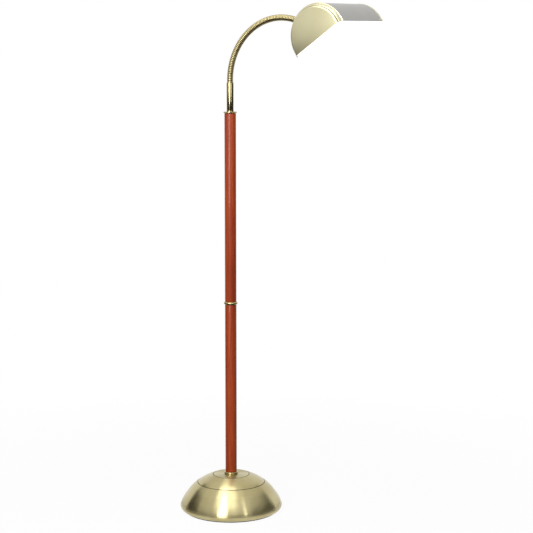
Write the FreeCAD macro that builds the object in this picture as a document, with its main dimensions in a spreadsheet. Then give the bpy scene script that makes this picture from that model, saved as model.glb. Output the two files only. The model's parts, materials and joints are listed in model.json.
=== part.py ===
"""Gooseneck reading floor lamp: a parametric document of its separate pieces, in millimetres.

The origin is on the floor, at the centre of the base. +Z is up and the neck reaches out along +X.
"""

import FreeCAD, Part
import math
import os
from types import SimpleNamespace

import Sketcher

doc = FreeCAD.newDocument("gooseneck_reading_lamp")
sheet = doc.addObject("Spreadsheet::Sheet", "dims")

SIZES = [
    # base
    ("base_radius", 139.5, "widest part of the base cover"),
    ("base_height", 100.0, "floor to the flat top of the base cover"),
    ("cover_wall", 1.5, "sheet thickness of the spun base cover"),
    ("curl_radius", 13.5, "radius of the curl under the widest part"),
    ("shoulder_inset", 19.0, "point on the dome's side, inside the widest part"),
    ("shoulder_drop", 50.0, "that point under the flat top"),
    ("step_inset", 47.5, "outer turned line, inside the widest part"),
    ("step_drop", 21.5, "outer turned line under the flat top"),
    ("crown_radius", 49.5, "inner turned line on the dome"),
    ("crown_drop", 0.6, "how far the inner line lies under the flat top"),
    ("dome_bulge", 97.0, "radius of the dome's side in section"),
    ("crown_bulge", 150.0, "radius of the dome's upper band in section"),
    ("line_width", 1.7, "width of the turned lines"),
    ("line_depth", 0.8, "depth of the turned lines"),
    ("pad_height", 2.5, "height of the rubber foot ring"),
    ("pad_overhang", 0.6, "foot ring past the cover's rim"),
    ("pad_width", 15.0, "width of the foot ring"),
    ("plate_thickness", 1.2, "steel bottom plate"),
    ("plate_gap", 0.4, "clearance round the bottom plate"),
    ("weight_gap", 26.0, "cast iron weight inside the cover's rim"),
    ("weight_height", 22.0, "thickness of the weight"),
    ("recess_radius", 16.0, "recess for the base nut"),
    ("recess_depth", 12.0, "depth of that recess"),
    ("spacer_radius", 9.0, "tube between the weight and the cover"),
    ("screw_radius", 2.0, "screws of the bottom plate"),
    ("screw_head_radius", 3.8, "their heads"),
    ("screw_head_height", 1.5, "their head height"),
    ("screw_length", 10.0, "their length under the head"),
    ("screw_inset", 30.0, "screws inside the weight's edge"),
    ("screw_clearance", 0.2, "radial clearance of a screw's hole"),
    ("screw_count", 3, "number of plate screws"),
    ("ballast_length", 78.0, "electronic ballast, along X"),
    ("ballast_width", 42.0, "its width"),
    ("ballast_height", 27.0, "its height"),
    ("ballast_offset", 20.0, "its near side from the pole axis"),
    ("ballast_corner", 3.0, "rounding of its corners"),
    ("grommet_height", 14.0, "cord inlet above the floor"),
    ("grommet_radius", 4.4, "neck of the rubber grommet"),
    ("grommet_flange", 6.2, "radius of its two flanges"),
    ("grommet_lip", 1.8, "their thickness"),
    ("grommet_depth", 5.2, "inner flange behind the widest part"),
    ("grommet_bore", 3.2, "hole for the cord"),
    # pole
    ("rod_radius", 5.0, "threaded steel tube through the pole"),
    ("rod_bore", 3.5, "its bore"),
    ("rod_clearance", 0.3, "clearance round the tube"),
    ("rod_tail", 1.0, "tube end past the base nut"),
    ("nut_size", 10.4, "corner radius of the hexagon nuts"),
    ("nut_height", 6.0, "their height"),
    ("washer_radius", 13.0, "base washer"),
    ("washer_thickness", 1.5, "its thickness"),
    ("foot_radius", 19.0, "brass collar on the base"),
    ("foot_height", 6.4, "its height"),
    ("foot_edge", 2.2, "rounding of its upper edge"),
    ("pole_radius", 15.5, "wooden pole"),
    ("lower_length", 462.6, "lower wooden length"),
    ("upper_length", 508.0, "upper wooden length"),
    ("ring_radius", 18.8, "brass ring between the wooden lengths"),
    ("ring_height", 8.0, "its height"),
    ("coupler_radius", 8.0, "coupling nut of the two rods"),
    ("coupler_length", 32.0, "its length"),
    ("collar_radius", 18.75, "brass flange on the pole's top"),
    ("collar_foot", 16.4, "radius of that flange at the wood"),
    ("collar_height", 5.4, "its height"),
    ("collar_edge", 1.4, "thickness of its rim"),
    ("sleeve_radius", 9.45, "brass sleeve that holds the hose"),
    ("sleeve_length", 76.6, "its length"),
    ("sleeve_edge", 0.6, "chamfer of the sleeve and ferrule"),
    ("rod_grip", 16.0, "rod inside the sleeve"),
    # flexible neck
    ("hose_radius", 8.3, "crest of the hose ribs"),
    ("rib_depth", 0.8, "depth between the ribs"),
    ("rib_pitch", 4.65, "distance from rib to rib"),
    ("link_ribs", 6, "ribs in one bending length"),
    ("link_count", 12, "bending places along the hose"),
    ("hose_bore", 4.2, "bore for the wires"),
    ("hose_seat", 10.0, "hose end inside its sleeve or ferrule"),
    ("seat_clearance", 0.3, "clearance round a seated hose end"),
    ("ball_radius", 9.0, "rounded end of each hose length"),
    ("ball_clearance", 0.3, "gap between a rounded end and its cup"),
    ("neck_lead", 6.5, "straight hose above the sleeve"),
    ("neck_radius", 159.0, "radius of the bent neck"),
    ("neck_sweep", 108.55, "degrees that the neck turns through"),
    ("ferrule_length", 22.0, "brass ferrule at the hose's end"),
    ("seat_height", 6.15, "brass seat between the ferrule and the shade"),
    ("seat_radius", 14.0, "its radius at the shade"),
    ("seat_waist", 10.6, "its radius at the ferrule"),
    ("seat_overlap", 2.5, "skirt of the seat past the shade's crest"),
    ("nipple_length", 27.0, "threaded nipple through the shade's wall"),
    ("nipple_start", 11.0, "its start inside the ferrule"),
    ("inner_washer_radius", 9.0, "washer inside the shade"),
    ("inner_washer_thickness", 1.0, "its thickness"),
    ("inner_washer_gap", 0.55, "room for the shade's curve behind the washer"),
    ("inner_nut_size", 8.6, "corner radius of the nut inside the shade"),
    ("inner_nut_height", 5.0, "its height"),
    # shade
    ("shade_half", 80.4, "radius of the shade's arched section"),
    ("shade_skirt", 9.9, "straight part of its sides"),
    ("shade_wall", 0.8, "sheet thickness of the shade"),
    ("shade_length", 191.0, "barrel between the end caps' rims"),
    ("neck_entry", 128.65, "degrees round the arch to the neck's seat"),
    ("shade_twist", 2.5, "degrees that the shade is turned on its nipple"),
    ("cap_bead", 0.6, "end cap's rim past the barrel"),
    ("cap_bead_width", 2.2, "width of that rim"),
    ("cap_slope", 1.0, "width of the slope from the rim to the band"),
    ("cap_lap", 0.05, "clearance of the rim round the barrel"),
    ("cap_wall", 0.9, "sheet thickness of the end caps"),
    ("cap_depth", 15.3, "how far an end cap stands out"),
    ("cap_shoulder", 1.3, "start of the band inside the barrel's section"),
    ("cap_band", 9.2, "width of its band"),
    ("cap_band_drop", 5.2, "how far the band draws in"),
    ("cap_band_swell", 0.9, "rise of the band's middle over a straight slope"),
    ("cap_inset", 10.7, "face of the cap inside the barrel's section"),
    ("cap_line", 1.2, "width of the pressed line round the face"),
    ("cap_line_depth", 1.4, "depth of that line"),
    ("cap_round", 3.2, "soft edge of the face"),
    ("reflector_half", 58.0, "arched reflector"),
    ("reflector_wall", 0.6, "its sheet thickness"),
    ("reflector_length", 176.0, "its length"),
    ("reflector_floor", 3.2, "height of its flanges over the shade's edge"),
    ("reflector_gap", 0.3, "clearance to the shade's walls"),
    ("end_plate", 0.8, "thickness of the reflector's end plates"),
    ("lip_drop", 6.0, "diffuser under the shade's edge"),
    ("lip_inset", 0.9, "diffuser inside the shade's outline"),
    ("diffuser_wall", 2.0, "thickness of the diffuser"),
    ("diffuser_rim", 5.0, "width of its thick rim"),
    ("diffuser_edge", 1.6, "rounding of its lower edge"),
    ("upstand_inset", 3.6, "its upstand inside the shade's outline"),
    ("upstand_gap", 0.3, "upstand under the reflector"),
    # lamp
    ("tube_radius", 6.2, "glass tubes of the bulb"),
    ("tube_spacing", 20.0, "distance between a bulb's two legs"),
    ("tube_layers", 18.0, "distance between its two loops"),
    ("tube_length", 100.0, "straight part of a leg"),
    ("tube_height", 24.0, "lower loop above the shade's edge"),
    ("bulb_cap_length", 22.0, "plastic cap of the bulb"),
    ("bulb_cap_width", 40.0, "its width"),
    ("bulb_cap_height", 36.0, "its height"),
    ("holder_length", 20.0, "lamp holder"),
    ("holder_width", 46.0, "its width"),
    ("holder_height", 42.0, "its height"),
    ("holder_corner", 3.0, "rounding of the holder and the cap"),
    ("clip_width", 5.0, "steel bulb clip"),
    ("clip_gauge", 0.8, "its sheet thickness"),
    ("clip_place", 60.0, "clip from the bulb cap"),
    # switch
    ("switch_place", 50.0, "switch from the neck's seat, along the shade"),
    ("bush_radius", 5.0, "threaded bush of the switch"),
    ("bush_height", 2.6, "bush outside the shade"),
    ("bush_clearance", 0.2, "clearance of its hole in the shade"),
    ("switch_width", 18.0, "switch housing"),
    ("switch_depth", 15.0, "its depth"),
    ("switch_seat", 0.8, "room for the shade's curve over the housing"),
    ("switch_nut_radius", 7.5, "ring nut of the switch"),
    ("switch_nut_height", 2.0, "its height"),
    ("shaft_radius", 3.0, "shaft of the knob"),
    ("shaft_clearance", 0.05, "its running clearance"),
    ("shaft_depth", 7.0, "shaft below the shade's skin"),
    ("knob_radius", 8.0, "knob"),
    ("knob_height", 11.0, "its height"),
    ("knob_gap", 0.6, "knob above the bush"),
    ("knob_edge", 1.2, "chamfer of the knob"),
    ("flute_radius", 0.9, "grip flutes round the knob"),
    ("flute_count", 18, "number of flutes"),
]

for row, (alias, value, note) in enumerate(SIZES, 1):
    sheet.set(f"A{row}", note)
    sheet.set(f"B{row}", str(value))
    sheet.setAlias(f"B{row}", alias)
doc.recompute()


class Size:
    """A length: its present value, and the expression over the sheet that a feature follows."""

    def __init__(self, value, text):
        self.value = value
        self.text = text

    def __add__(self, other):
        return Size(self.value + reading(other), f"({self.text} + {formula(other)})")

    def __sub__(self, other):
        return Size(self.value - reading(other), f"({self.text} - {formula(other)})")

    def __mul__(self, factor):
        return Size(self.value * factor, f"({self.text} * {factor})")

    def __truediv__(self, factor):
        return Size(self.value / factor, f"({self.text} / {factor})")

    def __neg__(self):
        return self * -1

    __rmul__ = __mul__


def reading(length):
    """The present value of a Size or of a plain number."""
    return length.value if isinstance(length, Size) else length


def formula(length):
    """The expression of a Size or of a plain number."""
    return length.text if isinstance(length, Size) else str(length)


dims = SimpleNamespace(**{alias: Size(float(sheet.get(alias)), f"dims.{alias}") for alias, _, _ in SIZES})
pieces = []  # every finished sub-part, in the order that it is made


def follow(item, key, length):
    """A property or constraint that stays equal to a length."""
    item.setExpression(key, formula(length))


def kept(piece, label):
    piece.Label = label
    pieces.append(piece)
    return piece


# ---- sketches and bodies -------------------------------------------------------------

X_AXIS = FreeCAD.Vector(1, 0, 0)
Y_AXIS = FreeCAD.Vector(0, 1, 0)
Z_AXIS = FreeCAD.Vector(0, 0, 1)


def arc_between(here, there, radius, side):
    """A minor arc from one point to another, with its centre on the left or right of the way."""
    way = there - here
    half = way.Length / 2
    across = FreeCAD.Vector(-way.y, way.x, 0).normalize() * math.sqrt(max(radius**2 - half**2, 0))
    centre = (here + there) / 2 + (across if side == "left" else -across)
    first, last = (here, there) if side == "left" else (there, here)
    angles = [math.atan2(spot.y - centre.y, spot.x - centre.x) for spot in (first, last)]
    if angles[1] < angles[0]:
        angles[1] += 2 * math.pi
    return Part.ArcOfCircle(Part.Circle(centre, Z_AXIS, radius), *angles)


def pin(sketch, edge, point, x, y):
    """Holds a point of an edge at x, y from the sketch's origin."""
    for kind, length, axis in (("DistanceX", x, -2), ("DistanceY", y, -1)):
        if reading(length) == 0:
            sketch.addConstraint(Sketcher.Constraint("PointOnObject", edge, point, axis))
            continue
        place = sketch.addConstraint(Sketcher.Constraint(kind, -1, 1, edge, point, reading(length)))
        follow(sketch, f"Constraints[{place}]", length)


def set_radius(sketch, edge, radius):
    place = sketch.addConstraint(Sketcher.Constraint("Radius", edge, reading(radius)))
    follow(sketch, f"Constraints[{place}]", radius)


def add_circle(sketch, x, y, radius):
    circle = Part.Circle(FreeCAD.Vector(reading(x), reading(y), 0), Z_AXIS, reading(radius))
    edge = sketch.addGeometry(circle)
    set_radius(sketch, edge, radius)
    pin(sketch, edge, 3, x, y)


def add_loop(sketch, corners):
    """A closed loop through corners (x, y), or (x, y, radius, side) where an arc starts."""
    spots = [FreeCAD.Vector(reading(corner[0]), reading(corner[1]), 0) for corner in corners]
    ends = []
    for here, there, corner in zip(spots, spots[1:] + spots[:1], corners):
        if len(corner) == 2:
            ends.append((sketch.addGeometry(Part.LineSegment(here, there)), 1, 2))
            continue
        radius, side = corner[2:]
        edge = sketch.addGeometry(arc_between(here, there, reading(radius), side))
        ends.append((edge, 1, 2) if side == "left" else (edge, 2, 1))
        set_radius(sketch, edge, radius)
    for (edge, _, end), (following, start, _) in zip(ends, ends[1:] + ends[:1]):
        sketch.addConstraint(Sketcher.Constraint("Coincident", edge, end, following, start))
    for (edge, start, _), corner in zip(ends, corners):
        pin(sketch, edge, start, *corner[:2])


def outline(body, name, role, loops, offset=None):
    """A sketch on one of the body's own planes, moved along its normal: corner lists and circles."""
    sketch = body.newObject("Sketcher::SketchObject", name)
    plane = next(item for item in body.Origin.OriginFeatures if item.Role == role)
    sketch.AttachmentSupport = [(plane, "")]
    sketch.MapMode = "FlatFace"
    if offset:
        follow(sketch, "AttachmentOffset.Base.z", offset)
    for loop in loops:
        if isinstance(loop, tuple):
            add_circle(sketch, *loop)
        else:
            add_loop(sketch, loop)
    return sketch


def new_body(label):
    return kept(doc.addObject("PartDesign::Body", label), label)


def turned(label, corners, place=None):
    """A body turned about its own Z axis from its half section (radius, height)."""
    body = new_body(label)
    sketch = outline(body, f"{label}_section", "XZ_Plane", [corners])
    turn = body.newObject("PartDesign::Revolution", f"{label}_turn")
    turn.Profile = sketch
    turn.ReferenceAxis = (sketch, ["V_Axis"])
    turn.Angle = 360
    if place:
        body.Placement = place
    return body


def tube(label, outer, inner, low, high, place=None):
    return turned(label, [(inner, low), (outer, low), (outer, high), (inner, high)], place)


def padded(body, name, role, loops, length, offset=None, both_sides=False, up=True):
    """A pad of the loops, along the plane's normal or against it, or half each way."""
    pad = body.newObject("PartDesign::Pad", name)
    pad.Profile = outline(body, f"{name}_outline", role, loops, offset)
    follow(pad, "Length", length)
    if both_sides:
        pad.SideType = "Symmetric"
    pad.Reversed = not up
    return pad


def arch(half, floor):
    """Corners of the shade's arched section: straight sides up from floor, and a half circle over them."""
    spring = dims.shade_skirt
    return [
        (half, floor),
        (half, spring, half, "left"),
        (0, spring + half, half, "left"),
        (-half, spring),
        (-half, floor),
    ]


def primitive(kind, name, place=None, **lengths):
    """A Part primitive whose properties follow lengths."""
    item = doc.addObject(f"Part::{kind}", name)
    for key, length in lengths.items():
        follow(item, key, length)
    if place:
        item.Placement = place
    return item


def cut_from(label, base, tool):
    """Base less tool, which takes over the label."""
    pieces.remove(base)
    base.Label = f"{label}_blank"
    cut = doc.addObject("Part::Cut", f"{label}_cut")
    cut.Base = base
    cut.Tool = tool
    return kept(cut, label)


def compound(name, items):
    group = doc.addObject("Part::Compound", name)
    group.Links = items
    return group


def soften(body, feature, axis, radius):
    """Rounds the straight edges of a feature that run along axis."""
    doc.recompute()
    edges = [
        f"Edge{number}"
        for number, edge in enumerate(feature.Shape.Edges, 1)
        if isinstance(edge.Curve, Part.Line) and edge.Curve.Direction.cross(axis).Length < 1e-6
    ]
    rounded = body.newObject("PartDesign::Fillet", f"{feature.Name}_corners")
    rounded.Base = (feature, edges)
    follow(rounded, "Radius", radius)


# ---- base ----------------------------------------------------------------------------

PLATE_TOP = dims.pad_height + dims.plate_thickness
WEIGHT_TOP = PLATE_TOP + dims.weight_height
RECESS_TOP = PLATE_TOP + dims.recess_depth
ROD_HOLE = dims.rod_radius + dims.rod_clearance
RIM_RADIUS = dims.base_radius - dims.curl_radius
WIDEST_HEIGHT = dims.pad_height + dims.curl_radius
SHOULDER = (dims.base_radius - dims.shoulder_inset, dims.base_height - dims.shoulder_drop)
STEP = (dims.base_radius - dims.step_inset, dims.base_height - dims.step_drop)
CROWN = (dims.crown_radius, dims.base_height - dims.crown_drop)
WEIGHT_RADIUS = RIM_RADIUS - dims.weight_gap


def turned_line(body, name, radius, height):
    """A square line cut round the dome's skin at that radius and height."""
    half = dims.line_width / 2
    cut = body.newObject("PartDesign::Groove", name)
    section = [
        (radius - half, height - dims.line_depth),
        (radius + half, height - dims.line_depth),
        (radius + half, height + dims.line_width),
        (radius - half, height + dims.line_width),
    ]
    cut.Profile = outline(body, f"{name}_section", "XZ_Plane", [section])
    cut.ReferenceAxis = (cut.Profile[0], ["V_Axis"])
    cut.Angle = 360


def base_cover():
    wall = dims.cover_wall
    cover = turned(
        "base_cover",
        [
            (RIM_RADIUS, dims.pad_height, dims.curl_radius, "left"),
            (dims.base_radius, WIDEST_HEIGHT, dims.dome_bulge, "left"),
            (*SHOULDER, dims.dome_bulge, "left"),
            (*STEP, dims.crown_bulge, "left"),
            CROWN,
            (dims.foot_radius, dims.base_height),
            (ROD_HOLE, dims.base_height),
            (ROD_HOLE, dims.base_height - wall),
            (dims.foot_radius, dims.base_height - wall),
            (CROWN[0], CROWN[1] - wall, dims.crown_bulge, "right"),
            (STEP[0] - wall, STEP[1] - wall, dims.dome_bulge, "right"),
            (SHOULDER[0] - wall, SHOULDER[1] - wall, dims.dome_bulge, "right"),
            (dims.base_radius - wall, WIDEST_HEIGHT, dims.curl_radius - wall, "right"),
            (RIM_RADIUS, dims.pad_height + wall),
        ],
    )
    turned_line(cover, "outer_line", *STEP)
    turned_line(cover, "inner_line", *CROWN)
    back = FreeCAD.Placement(
        FreeCAD.Vector(-RIM_RADIUS.value, 0, dims.grommet_height.value), FreeCAD.Rotation(Y_AXIS, -90)
    )
    hole = dims.grommet_radius + dims.seat_clearance
    inlet = primitive("Cylinder", "cord_inlet", back, Radius=hole, Height=dims.base_radius)
    cut_from("base_cover", cover, inlet)


def screw_spots():
    """Centres of the bottom plate's screws."""
    count = int(dims.screw_count.value)
    circle = WEIGHT_RADIUS - dims.screw_inset
    turns = [2 * math.pi * turn / count for turn in range(count)]
    return [(circle * round(math.cos(turn), 6), circle * round(math.sin(turn), 6)) for turn in turns]


def base_inside():
    """The foot ring, bottom plate and weight, and the tube, nut and screws that clamp them."""
    ring = RIM_RADIUS + dims.pad_overhang
    tube("foot_ring", ring, ring - dims.pad_width, 0, dims.pad_height)
    holes = [(x, y, dims.screw_radius + dims.screw_clearance) for x, y in screw_spots()]
    plate = new_body("bottom_plate")
    disc = (0, 0, RIM_RADIUS - dims.plate_gap)
    padded(plate, "plate_sheet", "XY_Plane", [disc, *holes], dims.plate_thickness, dims.pad_height)
    weight = turned(
        "base_weight",
        [
            (dims.recess_radius, PLATE_TOP),
            (WEIGHT_RADIUS, PLATE_TOP),
            (WEIGHT_RADIUS, WEIGHT_TOP),
            (ROD_HOLE, WEIGHT_TOP),
            (ROD_HOLE, RECESS_TOP),
            (dims.recess_radius, RECESS_TOP),
        ],
    )
    drilled = weight.newObject("PartDesign::Pocket", "screw_holes")
    drilled.Profile = outline(weight, "screw_holes_outline", "XY_Plane", holes, PLATE_TOP)
    follow(drilled, "Length", dims.screw_length)
    drilled.Reversed = True
    tube("base_spacer", dims.spacer_radius, ROD_HOLE, WEIGHT_TOP, dims.base_height - dims.cover_wall)
    washer_floor = RECESS_TOP - dims.washer_thickness
    nut_floor = washer_floor - dims.nut_height
    tube("base_washer", dims.washer_radius, ROD_HOLE, washer_floor, RECESS_TOP)
    hex_nut("base_nut", dims.nut_size, dims.nut_height, nut_floor)
    tube("lower_rod", dims.rod_radius, dims.rod_bore, nut_floor - dims.rod_tail, RING_MIDDLE)
    shank = dims.plate_thickness + dims.screw_length - dims.screw_clearance
    section = [
        (0, -dims.screw_head_height),
        (dims.screw_head_radius, -dims.screw_head_height),
        (dims.screw_head_radius, 0),
        (dims.screw_radius, 0),
        (dims.screw_radius, shank),
        (0, shank),
    ]
    screws = []
    for number, (x, y) in enumerate(screw_spots(), 1):
        spot = FreeCAD.Vector(x.value, y.value, dims.pad_height.value)
        screws.append(turned(f"screw_{number}", section, FreeCAD.Placement(spot, FreeCAD.Rotation())))
        pieces.remove(screws[-1])
    kept(compound("plate_screws", screws), "plate_screws")


def hex_nut(label, corner, height, floor, place=None):
    """A hexagon nut for the threaded tube, with its lower face at floor on the Z axis."""
    blank = kept(primitive("Prism", f"{label}_prism", Circumradius=corner, Height=height), label)
    tool = primitive("Cylinder", f"{label}_bore", Radius=ROD_HOLE, Height=height)
    where = FreeCAD.Placement(FreeCAD.Vector(0, 0, reading(floor)), FreeCAD.Rotation())
    blank.Placement = tool.Placement = place.multiply(where) if place else where
    cut_from(label, blank, tool)


def ballast():
    box = new_body("ballast")
    near, far = -dims.ballast_offset, -dims.ballast_offset - dims.ballast_length
    half = dims.ballast_width / 2
    loop = [(far, -half), (near, -half), (near, half), (far, half)]
    block = padded(box, "ballast_block", "XY_Plane", [loop], dims.ballast_height, WEIGHT_TOP)
    soften(box, block, Z_AXIS, dims.ballast_corner)


def grommet():
    """The rubber inlet at the back of the base, turned about X."""
    lip = dims.grommet_lip
    back = dims.base_radius - dims.grommet_depth
    front = dims.base_radius + dims.seat_clearance
    turned(
        "cord_grommet",
        [
            (dims.grommet_bore, back - lip),
            (dims.grommet_flange, back - lip),
            (dims.grommet_flange, back),
            (dims.grommet_radius, back),
            (dims.grommet_radius, front),
            (dims.grommet_flange, front),
            (dims.grommet_flange, front + lip),
            (dims.grommet_bore, front + lip),
        ],
        FreeCAD.Placement(FreeCAD.Vector(0, 0, dims.grommet_height.value), FreeCAD.Rotation(Y_AXIS, -90)),
    )


# ---- pole ----------------------------------------------------------------------------

POLE_FLOOR = dims.base_height + dims.foot_height
RING_FLOOR = POLE_FLOOR + dims.lower_length
RING_TOP = RING_FLOOR + dims.ring_height
RING_MIDDLE = RING_FLOOR + dims.ring_height / 2
COLLAR_FLOOR = RING_TOP + dims.upper_length
SLEEVE_FLOOR = COLLAR_FLOOR + dims.collar_height
SLEEVE_TOP = SLEEVE_FLOOR + dims.sleeve_length
SEAT_BORE = dims.hose_radius + dims.seat_clearance


def pole():
    coupler_hole = dims.coupler_radius + dims.rod_clearance
    coupler_floor = RING_MIDDLE - dims.coupler_length / 2
    coupler_top = RING_MIDDLE + dims.coupler_length / 2
    turned(
        "foot_collar",
        [
            (ROD_HOLE, dims.base_height),
            (dims.foot_radius, dims.base_height),
            (dims.foot_radius, POLE_FLOOR - dims.foot_edge, dims.foot_edge, "left"),
            (dims.foot_radius - dims.foot_edge, POLE_FLOOR),
            (ROD_HOLE, POLE_FLOOR),
        ],
    )
    turned(
        "lower_pole",
        [
            (ROD_HOLE, POLE_FLOOR),
            (dims.pole_radius, POLE_FLOOR),
            (dims.pole_radius, RING_FLOOR),
            (coupler_hole, RING_FLOOR),
            (coupler_hole, coupler_floor - dims.rod_clearance),
            (ROD_HOLE, coupler_floor - dims.rod_clearance),
        ],
    )
    bead = dims.ring_height / 2
    turned(
        "middle_ring",
        [
            (coupler_hole, RING_FLOOR),
            (dims.ring_radius - bead, RING_FLOOR, bead, "left"),
            (dims.ring_radius, RING_MIDDLE, bead, "left"),
            (dims.ring_radius - bead, RING_TOP),
            (coupler_hole, RING_TOP),
        ],
    )
    hex_nut("rod_coupler", dims.coupler_radius, dims.coupler_length, coupler_floor)
    turned(
        "upper_pole",
        [
            (coupler_hole, RING_TOP),
            (dims.pole_radius, RING_TOP),
            (dims.pole_radius, COLLAR_FLOOR),
            (ROD_HOLE, COLLAR_FLOOR),
            (ROD_HOLE, coupler_top + dims.rod_clearance),
            (coupler_hole, coupler_top + dims.rod_clearance),
        ],
    )
    tube("upper_rod", dims.rod_radius, dims.rod_bore, RING_MIDDLE, SLEEVE_FLOOR + dims.rod_grip)
    turned(
        "top_collar",
        [
            (ROD_HOLE, COLLAR_FLOOR),
            (dims.collar_foot, COLLAR_FLOOR),
            (dims.collar_radius, SLEEVE_FLOOR - 2 * dims.collar_edge),
            (dims.collar_radius, SLEEVE_FLOOR - dims.collar_edge),
            (dims.sleeve_radius, SLEEVE_FLOOR),
            (ROD_HOLE, SLEEVE_FLOOR),
        ],
    )
    turned(
        "neck_sleeve",
        [
            (ROD_HOLE, SLEEVE_FLOOR),
            (dims.sleeve_radius, SLEEVE_FLOOR),
            (dims.sleeve_radius, SLEEVE_TOP - dims.sleeve_edge),
            (dims.sleeve_radius - dims.sleeve_edge, SLEEVE_TOP),
            (SEAT_BORE, SLEEVE_TOP),
            (SEAT_BORE, SLEEVE_TOP - dims.hose_seat),
            (ROD_HOLE, SLEEVE_TOP - dims.hose_seat),
        ],
    )


# ---- flexible neck -------------------------------------------------------------------

# the rings of one rib: share of the pitch along it, and share of its depth under the crest
RIB_SHAPE = ((0.05, 1), (0.3, 0), (0.7, 0), (0.95, 1))


def neck_place(along):
    """The place on the neck's centre line that far above the sleeve, with Z along the neck."""
    lead, bend = dims.neck_lead.value, dims.neck_radius.value
    sweep = math.radians(dims.neck_sweep.value)
    turn = min(max((along - lead) / bend, 0), sweep)
    before = min(along, lead)
    after = max(along - lead - bend * sweep, 0)
    out = FreeCAD.Vector(math.sin(turn), 0, math.cos(turn)) * after
    arc = FreeCAD.Vector(bend * (1 - math.cos(turn)), 0, bend * math.sin(turn))
    foot = FreeCAD.Vector(0, 0, SLEEVE_TOP.value + before)
    return FreeCAD.Placement(foot + arc + out, FreeCAD.Rotation(Y_AXIS, math.degrees(turn)))


def ring_at(along, radius):
    """A circle square to the neck's centre line, which starts on its +Y side."""
    circle = Part.Wire(Part.makeCircle(radius))
    start = FreeCAD.Placement(FreeCAD.Vector(), FreeCAD.Rotation(Z_AXIS, 90))
    circle.Placement = neck_place(along).multiply(start)
    return circle


def rib_rings(first, last):
    """The circles of the ribs from first to last: valley, crest, crest and valley for each."""
    pitch, crest, depth = dims.rib_pitch.value, dims.hose_radius.value, dims.rib_depth.value
    return [
        ring_at((rib + share) * pitch, crest - drop * depth)
        for rib in range(first, last + 1)
        for share, drop in RIB_SHAPE
    ]


def hose_length(number):
    """One length of ribbed hose. It bends on the ball at its upper end, in the cup of the next length."""
    ribs, count = int(dims.link_ribs.value), int(dims.link_count.value)
    pitch, seat, crest = dims.rib_pitch.value, dims.hose_seat.value, dims.hose_radius.value
    ball, gap = dims.ball_radius.value, dims.ball_clearance.value
    is_first, is_last = number == 0, number == count
    low_rib = 0 if is_first else ribs * number - ribs // 2
    high_rib = ribs * count if is_last else ribs * (number + 1) - ribs // 2
    start, end = low_rib * pitch, high_rib * pitch
    rings = rib_rings(
        low_rib if is_first else low_rib + 1,
        high_rib - 1 if is_last else high_rib + math.ceil(ball / pitch),
    )
    if is_first:
        rings = [ring_at(start - seat, crest), ring_at(start, crest)] + rings
    if is_last:
        rings = rings + [ring_at(end, crest), ring_at(end + seat, crest)]
    low, high = start - seat - ball, end + seat + ball
    bore = dims.hose_bore.value
    step = (high - low) / (3 * ribs)
    bore_rings = [ring_at(low + step * index, bore) for index in range(3 * ribs + 1)]
    shape = Part.makeLoft(rings, True, True).cut(Part.makeLoft(bore_rings, True, True))
    if not is_first:
        cup = Part.makeSphere(ball + gap)
        cup.Placement = neck_place(start)
        shape = shape.cut(cup)
    if not is_last:
        past_ball = Part.makeCylinder(2 * crest, 3 * ball).cut(Part.makeSphere(ball))
        past_ball.Placement = neck_place(end)
        shape = shape.cut(past_ball)
    piece = doc.addObject("Part::Feature", f"hose_{number:02d}")
    piece.Shape = shape
    kept(piece, f"hose_{number:02d}")


# ---- shade ---------------------------------------------------------------------------

HOSE_LENGTH = dims.link_count.value * dims.link_ribs.value * dims.rib_pitch.value
SEAT_TOP = dims.ferrule_length + dims.seat_height
SKIN = dims.shade_half
INSIDE = dims.shade_half - dims.shade_wall
BARREL_HALF = dims.shade_length / 2


def shade_place():
    """The shade's own frame: X across the opening, Y along the shade, Z up through its crest."""
    sweep = math.radians(dims.neck_sweep.value)
    along = FreeCAD.Vector(math.sin(sweep), 0, math.cos(sweep))
    centre = neck_place(HOSE_LENGTH + SEAT_TOP.value).Base + along * dims.shade_half.value
    tilt = math.degrees(math.atan2(-along.z, -along.x)) - dims.neck_entry.value
    turn = FreeCAD.Rotation(Y_AXIS, -tilt)
    opening = centre - turn.multVec(Z_AXIS * dims.shade_skirt.value)
    twist = FreeCAD.Placement(FreeCAD.Vector(), FreeCAD.Rotation(along, dims.shade_twist.value), centre)
    return twist.multiply(FreeCAD.Placement(opening, turn))


def skin_place(along):
    """On the shade's skin at the neck's angle, that far along the shade, with Z pointing outwards."""
    entry = math.radians(dims.neck_entry.value)
    half, skirt = dims.shade_half.value, dims.shade_skirt.value
    spot = FreeCAD.Vector(half * math.cos(entry), along, skirt + half * math.sin(entry))
    outwards = FreeCAD.Rotation(Y_AXIS, 90 - dims.neck_entry.value)
    return shade_place().multiply(FreeCAD.Placement(spot, outwards))


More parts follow.
